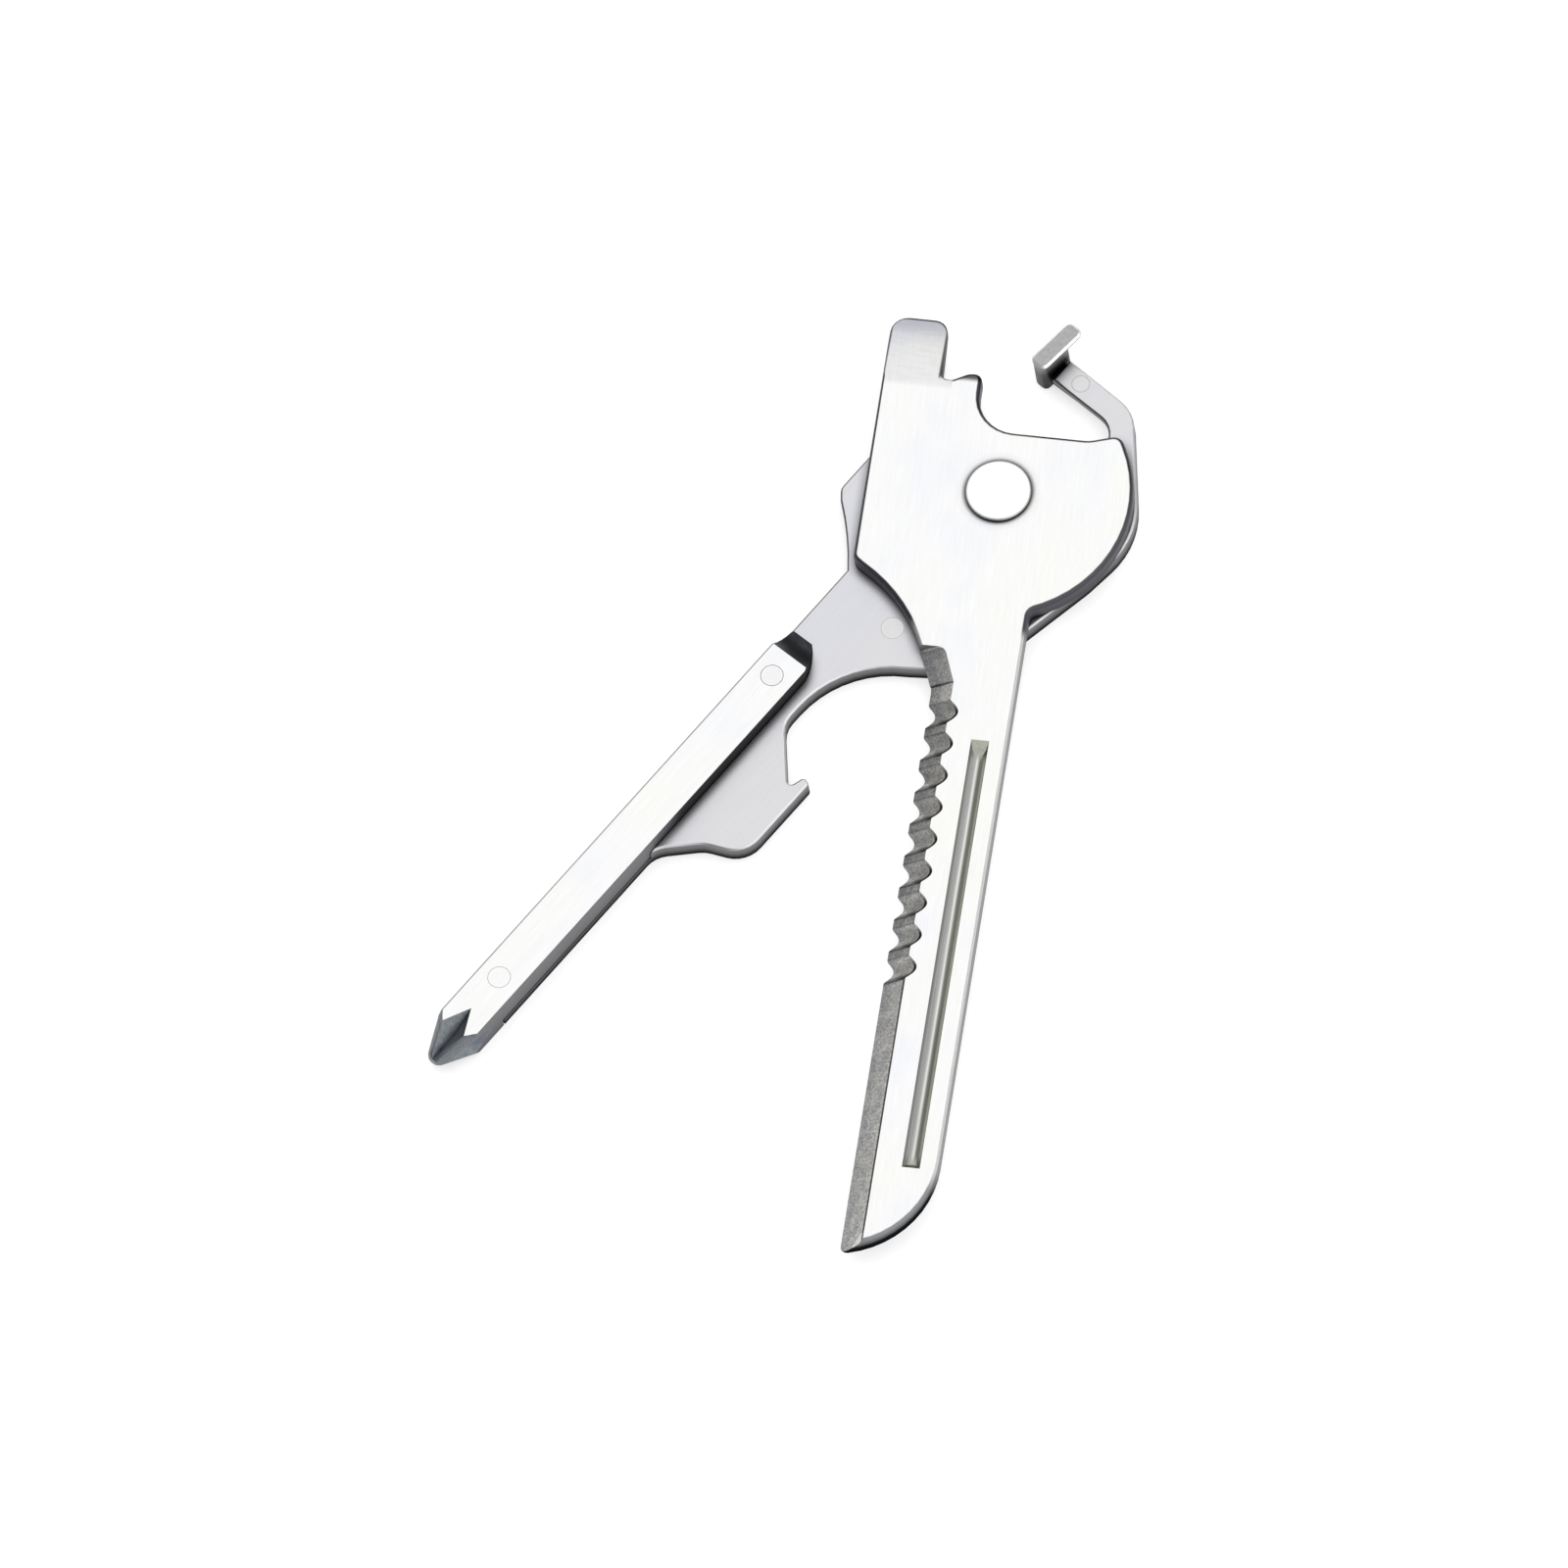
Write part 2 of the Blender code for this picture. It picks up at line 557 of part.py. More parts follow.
def side_empty(name, angle):
    """The empty on the rivet's axis that one side hangs on."""
    empty = bpy.data.objects.new(name, None)
    empty.rotation_euler = (0, 0, math.radians(angle))
    bpy.context.collection.objects.link(empty)
    return empty


def main():
    for obj in list(bpy.data.objects):
        bpy.data.objects.remove(obj)
    front = steel('steel_front', (0.80, 0.80, 0.80), 0.28)
    back = steel('steel_back', (0.66, 0.66, 0.69), 0.36)
    bright = steel('steel_bright', (0.85, 0.85, 0.85), 0.22)
    dull = steel('steel_dull', (0.45, 0.45, 0.47), 0.42)
    blade_side = side_empty('blade_side', 0)
    tool_side = side_empty('tool_side', -OPEN_ANGLE)
    blade_plate(blade_side, front)
    rivet_stack(blade_side, bright, dull)
    tool_plate(tool_side, back)
    driver_bar(tool_side, front)
    pins(tool_side, bright)
    latch_stud(tool_side, dull)


main()
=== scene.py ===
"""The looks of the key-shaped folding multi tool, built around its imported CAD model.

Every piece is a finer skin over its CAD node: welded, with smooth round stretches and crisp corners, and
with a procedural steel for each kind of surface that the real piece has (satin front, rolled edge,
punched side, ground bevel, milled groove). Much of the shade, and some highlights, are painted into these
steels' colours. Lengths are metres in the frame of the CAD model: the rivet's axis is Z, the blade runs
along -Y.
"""
import math

import bmesh
import bpy
from mathutils import Matrix, Vector


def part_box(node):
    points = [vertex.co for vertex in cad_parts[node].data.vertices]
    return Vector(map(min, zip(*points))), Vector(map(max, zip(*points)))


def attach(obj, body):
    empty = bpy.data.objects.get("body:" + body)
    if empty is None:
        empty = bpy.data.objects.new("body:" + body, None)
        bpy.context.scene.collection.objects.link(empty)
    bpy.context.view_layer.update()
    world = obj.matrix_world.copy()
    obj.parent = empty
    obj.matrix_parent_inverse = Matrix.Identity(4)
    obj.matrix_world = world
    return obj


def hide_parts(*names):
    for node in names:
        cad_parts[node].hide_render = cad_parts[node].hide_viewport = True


MM = 0.001

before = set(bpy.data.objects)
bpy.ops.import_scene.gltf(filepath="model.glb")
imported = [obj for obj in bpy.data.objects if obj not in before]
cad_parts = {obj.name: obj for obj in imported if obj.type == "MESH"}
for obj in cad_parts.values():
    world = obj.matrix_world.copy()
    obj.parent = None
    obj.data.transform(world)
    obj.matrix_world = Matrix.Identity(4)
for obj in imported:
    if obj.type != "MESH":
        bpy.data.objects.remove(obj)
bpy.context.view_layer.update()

# ---------------------------------------------------------------- places read from the frame

BLADE_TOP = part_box("blade_plate")[1].z
BLADE_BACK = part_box("blade_plate")[0].z
BAR_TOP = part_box("driver_bar")[1].z
TOOL_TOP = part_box("neck_pin")[1].z
HEAD_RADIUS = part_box("pivot_rivet")[1].x


def middle(node):
    """The middle of a node's box."""
    low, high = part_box(node)
    return (low + high) / 2


BAR_WAY = (middle("driver_pin_lower") - middle("driver_pin_upper")).normalized()
BAR_TURN = math.atan2(BAR_WAY.x, -BAR_WAY.y)      # the driver bar's angle from the blade

# Places that no node's box gives, most of them as the CAD model has them
GROOVE_X = 1.525 * MM
GROOVE_HALF = 0.625 * MM
GROOVE_ENDS = (-51.15 * MM, -18.75 * MM)
BEVEL_TOP_X = -0.95 * MM
BEVEL_ANGLE = math.radians(40)
BEVEL_START_Y = -11.9 * MM
HEEL_Y = -14.58 * MM
SCALLOP_TOP_Y = -15.98 * MM
SCALLOP_PITCH = 2.42 * MM
SCALLOP_LENGTH = 1.72 * MM
SCALLOP_DEPTH = 0.42 * MM           # square to the bevel
SCALLOPS = 9
HEAD_END_Y = -10 * MM
BAR_LEFT = -4.92 * MM
HOOK_FOOT = 33.5 * MM               # how far along the driver bar the tool plate lies beside it
POINT_BEND_Y = -50.5 * MM           # the spine bends round to the point below here
POINT_RUNOUT_WAY = (0.841, -0.541)    # square to the line where the bevel runs out at the point
POINT_RUNOUT = 29.73 * MM             # that line's distance from the rivet's axis
POINT_RUNOUT_Y = -55.5 * MM           # and its upper end
BODY_LEFT = -9.3 * MM
TONGUE_RIGHT = -5.3 * MM
TONGUE_GRIND_Y = 7.35 * MM
TONGUE_MIDDLE = ((BODY_LEFT + TONGUE_RIGHT) / 2, 7.0 * MM)
TONGUE_HALF = ((TONGUE_RIGHT - BODY_LEFT) / 2, 5.65 * MM)
TONGUE_ROUND = 1.05 * MM
TONGUE_GRIND_X = -4.45 * MM


# ---------------------------------------------------------------- shader parts

class Surface:
    """A steel material under construction: its node tree and the few node patterns that it is made of."""

    def __init__(self, name):
        self.material = bpy.data.materials.new(name)
        self.material.use_nodes = True
        self.tree = self.material.node_tree
        self.shader = self.tree.nodes["Principled BSDF"]
        self.shader.inputs["Metallic"].default_value = 1.0
        self.place = self.tree.nodes.new("ShaderNodeTexCoord")

    def node(self, kind, inputs, output=0, **settings):
        """A node with its settings; each input is another node's output or a plain value."""
        node = self.tree.nodes.new(kind)
        for key, value in settings.items():
            setattr(node, key, value)
        for key, value in inputs.items():
            if isinstance(value, bpy.types.NodeSocket):
                self.tree.links.new(value, node.inputs[key])
            else:
                node.inputs[key].default_value = value
        return node.outputs[output]

    def set(self, socket, value):
        self.tree.links.new(value, self.shader.inputs[socket])

    def sum(self, a, b):
        return self.node("ShaderNodeMath", {0: a, 1: b}, operation="ADD")

    def product(self, a, b):
        return self.node("ShaderNodeMath", {0: a, 1: b}, operation="MULTIPLY")

    def rise(self, value, start, end):
        """0 below start, 1 above end and smooth in between; the other way round where start is above end."""
        return self.node("ShaderNodeMapRange", {"Value": value, "From Min": start, "From Max": end},
                         interpolation_type="SMOOTHSTEP")

    def ramp(self, value, stops):
        """A colour ramp; stops are (position, grey or colour)."""
        node = self.tree.nodes.new("ShaderNodeValToRGB")
        elements = node.color_ramp.elements
        while len(elements) < len(stops):
            elements.new(0.5)
        for element, (position, colour) in zip(elements, stops):
            element.position = position
            element.color = (*(colour if isinstance(colour, tuple) else (colour,) * 3), 1)
        self.tree.links.new(value, node.inputs["Fac"])
        return node.outputs["Color"]

    def tint(self, colour, other, mode="MULTIPLY", factor=1.0):
        return self.node("ShaderNodeMix", {"Factor": factor, "A": colour, "B": other}, 2,
                         data_type="RGBA", blend_type=mode)

    def coordinates(self):
        split = self.tree.nodes.new("ShaderNodeSeparateXYZ")
        self.tree.links.new(self.place.outputs["Object"], split.inputs[0])
        return split.outputs

    def normal(self, axis):
        split = self.tree.nodes.new("ShaderNodeSeparateXYZ")
        self.tree.links.new(self.place.outputs["Normal"], split.inputs[0])
        return split.outputs[axis]

    def uprightness(self):
        """How far the surface faces up or down: 1 on a plate's faces, 0 on its sides."""
        return self.node("ShaderNodeMath", {0: self.normal("Z")}, operation="ABSOLUTE")

    def streaks(self, turn, along, across, detail=3.0):
        """Noise drawn out along one direction of the surface; turn is that direction's angle from Y."""
        turned = self.node("ShaderNodeMapping", {"Vector": self.place.outputs["Object"],
                                                 "Rotation": (0, 0, -turn)})
        drawn = self.node("ShaderNodeMapping", {"Vector": turned, "Scale": (across, along, across)})
        return self.node("ShaderNodeTexNoise", {"Vector": drawn, "Scale": 1.0, "Detail": detail})

    def distance(self, centre):
        """The distance from an upright axis."""
        away = self.node("ShaderNodeVectorMath", {0: self.place.outputs["Object"],
                                                  1: (centre.x, centre.y, 0)}, operation="SUBTRACT")
        flat = self.node("ShaderNodeVectorMath", {0: away, 1: (1, 1, 0)}, operation="MULTIPLY")
        return self.node("ShaderNodeVectorMath", {0: flat}, "Value", operation="LENGTH")

    def inset(self, centre, half, radius):
        """How far inside an upright round-cornered block a place lies."""
        away = self.node("ShaderNodeVectorMath", {0: self.place.outputs["Object"], 1: (*centre, 0)},
                         operation="SUBTRACT")
        away = self.node("ShaderNodeVectorMath", {0: away}, operation="ABSOLUTE")
        away = self.node("ShaderNodeVectorMath", {0: away, 1: (half[0] - radius, half[1] - radius, 1)},
                         operation="SUBTRACT")
        away = self.node("ShaderNodeVectorMath", {0: away, 1: (0, 0, 0)}, operation="MAXIMUM")
        out = self.node("ShaderNodeVectorMath", {0: away}, "Value", operation="LENGTH")
        return self.sum(self.product(out, -1.0), radius)

    def rings(self, centre, spacing):
        """Noise that changes only with the distance from an upright axis, as a lathe leaves it."""
        radius = self.distance(centre)
        return self.node("ShaderNodeTexNoise", {"W": self.product(radius, 1 / spacing), "Scale": 1.0,
                                                "Detail": 2.0}, noise_dimensions="1D")

    def shade(self, reach, darkest):
        """Painted shade in corners, from ambient occlusion: darkest deep in them, 1 in the open."""
        open_air = self.node("ShaderNodeAmbientOcclusion", {"Distance": reach}, "AO", samples=12)
        return self.ramp(open_air, ((0.25, darkest), (0.95, 1.0)))

    def bump(self, height, depth, strength=0.4):
        self.set("Normal", self.node("ShaderNodeBump", {"Height": height, "Strength": strength,
                                                        "Distance": depth}))


# ---------------------------------------------------------------- materials

COOL = (0.965, 0.97, 1.0)
NEUTRAL = (1.0, 1.0, 1.0)
WARM = (1.0, 1.0, 0.975)
LAVENDER = ((0.955, 0.962, 1.015), (0.97, 0.968, 1.01), (0.98, 0.98, 1.005))
FRONT = 0.515                       # the tone of the satin fronts


def steel_tones(s, face, rim, side, foot, levels, bare_metal=None):
    """The tone of a plate by how far its surface faces up: its faces, their rounded rims and its sides.

    The sides darken downwards, as painted shade, to foot times their tone at the lower of the two levels.
    Where the last argument is 0 they carry a dull dark film of painted shade instead of bare metal; None
    leaves them all bare.
    """
    up = s.uprightness()
    _, _, z = s.coordinates()
    wall = s.tint(s.ramp(s.rise(z, *levels), ((0.0, foot), (1.0, 1.0))), side)
    on_rim = s.rise(up, 0.30, 0.62)
    rim_or_wall = s.tint(wall, rim, "MIX", on_rim)
    if bare_metal is not None:
        s.set("Metallic", s.node("ShaderNodeMath", {0: bare_metal, 1: on_rim}, operation="MAXIMUM"))
        s.shader.inputs["IOR"].default_value = 1.01
    return up, s.tint(rim_or_wall, face, "MIX", s.rise(up, 0.90, 0.985))


def plain_steel(name, face, rim, side, levels, rough=0.33, turn=0.0, contrast=0.06, corners=0.25, foot=0.3,
                tones=(COOL, NEUTRAL, WARM), painted_shade=None, edge=None):
    """Satin steel with fine lines along turn: a plate's faces, rims and sides, and painted shade in its
    corners.

    The next to last argument makes the mask of the sides' dark film of painted shade: 0 under it and 1 where
    the metal is bare. edge makes the mask of a face's dark outline, which is painted shade too.
    """
    s = Surface(name)
    bare_metal = painted_shade(s) if painted_shade else None
    lines = s.streaks(turn, 400, 9000)
    blotches = s.streaks(turn, 130, 200, 2.0)
    side = (side if isinstance(side, tuple) else (side,) * 3) + (1,)
    # the rims on a plate's left are darker than the others: painted shade, as they turn from the light
    rim = s.ramp(s.rise(s.normal("X"), -0.35, 0.1), ((0.0, 0.13), (1.0, rim)))
    face = s.ramp(blotches, [(at, tuple(c * face for c in tone))
                             for at, tone in zip((0.35, 0.5, 0.65), tones)])
    # the sides' dark film is painted shade
    if painted_shade:
        side = s.tint(s.ramp(bare_metal, ((0.0, 0.22), (1.0, 1.0))), side)
    up, colour = steel_tones(s, face, rim, side, foot, levels, bare_metal)
    colour = s.tint(colour, s.ramp(lines, ((0.3, 1 - contrast), (0.7, 1.0))))
    colour = s.tint(colour, s.shade(0.9 * MM, corners))
    if edge:
        colour = s.tint(colour, s.ramp(edge(s), ((0.0, 1.0), (1.0, 0.30))))
    s.set("Base Color", colour)
    s.set("Roughness", s.ramp(up, ((0.2, rough + 0.14), (0.8, rough - 0.04), (1.0, rough))))
    s.bump(lines, 0.003 * MM)
    return s.material


def front_steel():
    """The blade plate: a bright front, with painted shade on the edges round its head and point and painted
    highlights on the ones between.
    """
    s = Surface("satin_front")
    x, y, z = s.coordinates()
    lines = s.streaks(0, 400, 9000)
    blotches = s.streaks(0, 130, 200, 2.0)
    face = s.ramp(blotches, [(at, tuple(c * FRONT for c in tone))
                             for at, tone in ((0.35, COOL), (0.5, NEUTRAL), (0.65, WARM))])
    on_blade = s.rise(y, HEAD_END_Y, HEAD_END_Y - 1 * MM)
    rim = s.ramp(on_blade, ((0.0, (0.075, 0.07, 0.08)), (1.0, 0.62)))
    at_point = s.rise(y, POINT_BEND_Y, POINT_BEND_Y - 2.5 * MM)
    rim = s.tint(rim, s.ramp(at_point, ((0.0, 1.0), (1.0, (0.34, 0.35, 0.37)))))
    # the sides' dark film near the point is painted shade, darkest at their foot
    bare_metal = s.rise(y, POINT_BEND_Y - 2.5 * MM, POINT_BEND_Y)
    painted_shade = s.ramp(s.rise(z, BLADE_BACK, BLADE_TOP - 0.1 * MM),
                  ((0.0, 0.02), (0.55, (0.035, 0.04, 0.05)), (1.0, 0.75)))
    side = s.tint(s.ramp(on_blade, ((0.0, (0.07, 0.068, 0.08)), (1.0, 0.24))), painted_shade, factor=at_point)
    up, colour = steel_tones(s, face, rim, side, 0.5, (BLADE_BACK, BLADE_TOP - 0.6 * MM), bare_metal)
    colour = s.tint(colour, s.ramp(lines, ((0.3, 0.94), (0.7, 1.0))))
    colour = s.tint(colour, s.shade(0.9 * MM, 0.25))
    # painted shade round the rivet's head
    head_shade = s.ramp(s.rise(s.distance(Vector()), HEAD_RADIUS, HEAD_RADIUS + 0.8 * MM),
                  ((0.0, 0.30), (0.12, 0.62), (0.35, 0.93), (1.0, 1.0)))
    colour = s.tint(colour, head_shade)
    # the flat driver's taper is ground duller, with the scratches across it
    scratches = s.streaks(math.radians(90), 500, 7000)
    wavy = s.sum(y, s.product(scratches, 0.5 * MM))
    ground = s.product(s.rise(wavy, TONGUE_GRIND_Y, TONGUE_GRIND_Y + 0.7 * MM),
                       s.rise(x, TONGUE_GRIND_X + 0.05 * MM, TONGUE_GRIND_X - 0.05 * MM))
    length = s.rise(y, TONGUE_GRIND_Y, TONGUE_GRIND_Y + 5.3 * MM)
    duller = s.ramp(length, ((0.0, 0.90), (0.6, 0.86), (0.85, (0.73, 0.73, 0.76)),
                             (1.0, (0.54, 0.54, 0.59))))
    duller = s.tint(duller, s.ramp(scratches, ((0.3, 0.93), (0.7, 1.0))))
    colour = s.tint(colour, duller, factor=ground)
    # the tongue's dark outline, painted shade
    outline = s.ramp(s.rise(s.inset(TONGUE_MIDDLE, TONGUE_HALF, TONGUE_ROUND), 0.2 * MM, 0.06 * MM),
                     ((0.0, 1.0), (1.0, 0.14)))
    on_tongue = s.rise(y, TONGUE_GRIND_Y + 0.6 * MM, TONGUE_GRIND_Y + 1 * MM)
    s.set("Base Color", s.tint(colour, outline, factor=on_tongue))
    s.set("Roughness", s.ramp(up, ((0.2, 0.47), (0.8, 0.29), (1.0, 0.33))))
    s.bump(lines, 0.003 * MM)
    return s.material


def bevel_steel():
    """The knife's ground bevel: grey, with the grinding marks across it and painted shade and highlights
    along the lines where cuts meet.
    """
    s = Surface("ground_bevel")
    x, y, _ = s.coordinates()
    marks = s.streaks(math.radians(90), 900, 5200, 4.0)
    speckle = s.streaks(0, 6500, 6500, 3.0)
    mottle = s.streaks(0, 1100, 1700, 2.0)
    colour = s.ramp(marks, ((0.25, (0.62, 0.62, 0.63)), (0.5, (0.78, 0.78, 0.76)),
                            (0.75, (0.92, 0.92, 0.92))))
    colour = s.tint(colour, s.ramp(speckle, ((0.32, 0.55), (0.5, 0.86), (0.68, 1.1))))
    colour = s.tint(colour, s.ramp(mottle, ((0.35, (0.83, 0.83, 0.86)), (0.65, (1.09, 1.09, 1.07)))))
    # place within one pitch of the scallops: 0 at a scallop's upper end
    turns = s.product(s.sum(s.product(y, -1.0), SCALLOP_TOP_Y), 1 / SCALLOP_PITCH)
    phase = s.node("ShaderNodeMath", {0: turns}, operation="FRACT")
    lower_end = SCALLOP_LENGTH / SCALLOP_PITCH
    lines = s.ramp(phase, ((0.0, 0.62), (0.05, 0.95), (0.3, 1.0), (lower_end - 0.21, 0.95),
                           (lower_end - 0.11, 0.20), (lower_end, 0.04), (lower_end + 0.06, 0.8),
                           (0.96, 0.95), (1.0, 0.40)))
    row = s.product(s.rise(turns, -0.02, 0.0), s.rise(turns, SCALLOPS - 0.2, SCALLOPS - 0.22))
    colour = s.tint(colour, s.ramp(row, ((0.0, 1.0), (1.0, 0.84))))
    colour = s.tint(colour, lines, factor=row)
    # each scallop's round upper line: a dark edge of painted shade round its lower half, with a painted
    # highlight inside it
    share = s.product(phase, SCALLOP_PITCH / SCALLOP_LENGTH)
    bulge = s.node("ShaderNodeMath", {0: s.product(share, math.pi)}, operation="SINE")
    bulge = s.node("ShaderNodeMath", {0: bulge, 1: 0.0}, operation="MAXIMUM")
    upper_line = s.sum(s.product(bulge, SCALLOP_DEPTH / math.sin(BEVEL_ANGLE)), BEVEL_TOP_X)
    inside = s.sum(upper_line, s.product(x, -1.0))
    inside = s.product(inside, s.ramp(share, ((0.5, 1.0), (0.9, 0.55))))
    outline = s.ramp(s.rise(inside, 0.0, 0.5 * MM),
                     ((0.0, 0.02), (0.3, 0.03), (0.45, 0.8), (0.55, 1.35), (0.8, 1.0)))
    lower_half = s.product(s.rise(share, 0.08, 0.5), s.rise(share, 1.06, 1.0))
    colour = s.tint(colour, outline, factor=s.product(row, lower_half))
    # the dark line across the heel, painted shade where its grind meets the bevel
    heel = s.rise(s.node("ShaderNodeMath", {0: s.sum(y, -HEEL_Y)}, operation="ABSOLUTE"), 0.0, 0.14 * MM)
    colour = s.tint(colour, s.ramp(heel, ((0.0, 0.30), (1.0, 1.0))))
    # a thin painted highlight and a dark line of painted shade along the straight bevel's upper line
    straight = s.rise(turns, SCALLOPS - 0.25, SCALLOPS - 0.2)
    painted_top_line = s.ramp(s.rise(x, BEVEL_TOP_X - 0.3 * MM, BEVEL_TOP_X),
                  ((0.0, 1.0), (0.35, 1.15), (0.5, 0.9), (0.64, 0.16)))
    colour = s.tint(colour, painted_top_line, factor=straight)
    # a painted highlight where the bevel runs out at the point
    beyond = s.sum(s.sum(s.product(x, POINT_RUNOUT_WAY[0]), s.product(y, POINT_RUNOUT_WAY[1])), -POINT_RUNOUT)
    bright = s.product(s.rise(beyond, -0.26 * MM, -0.12 * MM),
                       s.rise(y, POINT_RUNOUT_Y, POINT_RUNOUT_Y - 0.5 * MM))
    colour = s.tint(colour, s.ramp(bright, ((0.0, 1.0), (1.0, 2.0))))
    # the bevel is cooler and darker towards its cutting edge
    across = s.rise(x, BEVEL_TOP_X - 1.7 * MM, BEVEL_TOP_X - 0.1 * MM)
    colour = s.tint(colour, s.ramp(across, ((0.0, (0.74, 0.74, 0.75)), (1.0, (1.0, 0.985, 0.96)))))
    s.set("Base Color", s.tint(colour, s.shade(0.5 * MM, 0.12)))
    s.set("Roughness", s.ramp(marks, ((0.3, 0.46), (0.7, 0.36))))
    s.bump(s.sum(marks, s.product(speckle, 0.6)), 0.012 * MM)
    return s.material


def groove_steel():
    """The milled groove: grey on its left wall, a painted highlight along its floor, olive painted shade on
    its right wall.
    """
    s = Surface("milled_groove")
    x, y, _ = s.coordinates()
    lines = s.streaks(0, 250, 16000)
    across = s.node("ShaderNodeMapRange", {"Value": x, "From Min": GROOVE_X - GROOVE_HALF,
                                           "From Max": GROOVE_X + GROOVE_HALF})
    wall = s.ramp(across, ((0.0, 0.25), (0.1, 0.28), (0.18, 0.41), (0.28, (0.235, 0.235, 0.23)),
                           (0.36, (0.22, 0.22, 0.215)), (0.43, (0.33, 0.33, 0.32)),
                           (0.5, (0.46, 0.46, 0.44)), (0.58, (0.20, 0.20, 0.188)),
                           (0.66, (0.085, 0.085, 0.076)), (0.75, (0.155, 0.16, 0.132)),
                           (0.84, (0.53, 0.55, 0.46)), (0.92, (0.64, 0.66, 0.56)),
                           (1.0, (0.25, 0.25, 0.2))))
    colour = s.tint(wall, s.ramp(lines, ((0.3, 0.82), (0.7, 1.0))))
    ends = s.product(s.rise(y, GROOVE_ENDS[0] + 0.4 * MM, GROOVE_ENDS[0] + 1.2 * MM),
                     s.rise(y, GROOVE_ENDS[1] - 0.9 * MM, GROOVE_ENDS[1] - 1.5 * MM))
    plain = s.ramp(lines, ((0.3, (0.19, 0.19, 0.17)), (0.7, (0.24, 0.24, 0.21))))
    s.set("Base Color", s.tint(plain, colour, "MIX", ends))
    s.set("Roughness", s.ramp(lines, ((0.3, 0.34), (0.7, 0.26))))
    s.bump(lines, 0.004 * MM)
    return s.material


def flute_steel(name, tone, creases):
    """Ground steel with a bluish heat tint, for the cross tip's flutes and the ramp at the bar's foot."""
    s = Surface(name)
    marks = s.streaks(BAR_TURN + math.radians(55), 700, 7000)
    heat = s.streaks(BAR_TURN, 500, 700, 2.0)
    colour = s.ramp(heat, [(at, tuple(c * tone for c in tint)) for at, tint in (
        (0.35, (0.66, 0.74, 0.87)), (0.5, (0.95, 1.0, 1.09)), (0.65, (0.82, 0.95, 0.95)))])
    colour = s.tint(colour, s.ramp(marks, ((0.3, 0.75), (0.7, 1.0))))
    s.set("Base Color", s.tint(colour, s.shade(0.7 * MM, creases)))
    s.set("Roughness", s.ramp(marks, ((0.3, 0.42), (0.7, 0.30))))
    s.bump(marks, 0.006 * MM)
    return s.material


def turned_steel(name, centre, face, side):
    """A rivet's or a pin's end: bright, with the fine rings of its turning."""
    s = Surface(name)
    rings = s.rings(centre, 0.09 * MM)
    colour = s.ramp(s.uprightness(), ((0.0, side), (0.8, side), (0.95, face), (1.0, face)))
    colour = s.tint(colour, s.ramp(rings, ((0.3, 0.96), (0.7, 1.0))))
    s.set("Base Color", s.tint(colour, s.shade(0.5 * MM, 0.3)))
    s.set("Roughness", s.ramp(rings, ((0.3, 0.34), (0.7, 0.27))))
    s.bump(rings, 0.002 * MM, 0.3)
    return s.material


def stud_steel():
    """The latch stud: a grey cap with a bright rim over a stem that darkens downwards, painted shade under
    the cap.
    """
    s = Surface("cast_stud")
    _, _, z = s.coordinates()
    grit = s.streaks(BAR_TURN, 3500, 4500, 3.0)
    up = s.uprightness()
    tone_by_slope = s.ramp(up, ((0.0, 0.22), (0.35, 0.36), (0.6, 0.85), (0.93, 0.85), (0.995, 0.27), (1.0, 0.255)))
    colour = s.tint(tone_by_slope, s.ramp(grit, ((0.3, 0.86), (0.7, 1.0))))
    # painted shade: darker down the stem, under the cap
    height = s.rise(z, 1.2 * MM, 3.5 * MM)
    s.set("Base Color", s.tint(colour, s.ramp(height, ((0.0, 0.06), (0.5, 0.22), (1.0, 1.0)))))
    s.set("Roughness", s.ramp(grit, ((0.3, 0.46), (0.7, 0.36))))
    s.bump(grit, 0.01 * MM, 0.5)
    return s.material


# ---------------------------------------------------------------- skins over the CAD nodes

def in_groove(point, normal):
    return (abs(point.x - GROOVE_X) < GROOVE_HALF + 0.02 * MM and GROOVE_ENDS[0] < point.y < GROOVE_ENDS[1]
            and BLADE_BACK + 0.2 * MM < point.z < BLADE_TOP - 0.005 * MM)


def in_bevel(point, normal):
    return (point.x < BEVEL_TOP_X and point.y < BEVEL_START_Y and normal.z > 0.3
            and point.z < BLADE_TOP - 0.005 * MM and normal.x < 0.3)


def on_tip(point, normal):
    """Past the driver bar's shoulder, where the flutes and the cone are ground."""
    along = (point - middle("driver_pin_lower")).dot(BAR_WAY)
    return along > 2.0 * MM and abs(normal.z) < 0.985


def on_ramp(point, normal):
    """The ramp at the bar's inner end, which faces back along the bar and up."""
    return normal.dot(BAR_WAY) < -0.2 and normal.z > 0.2


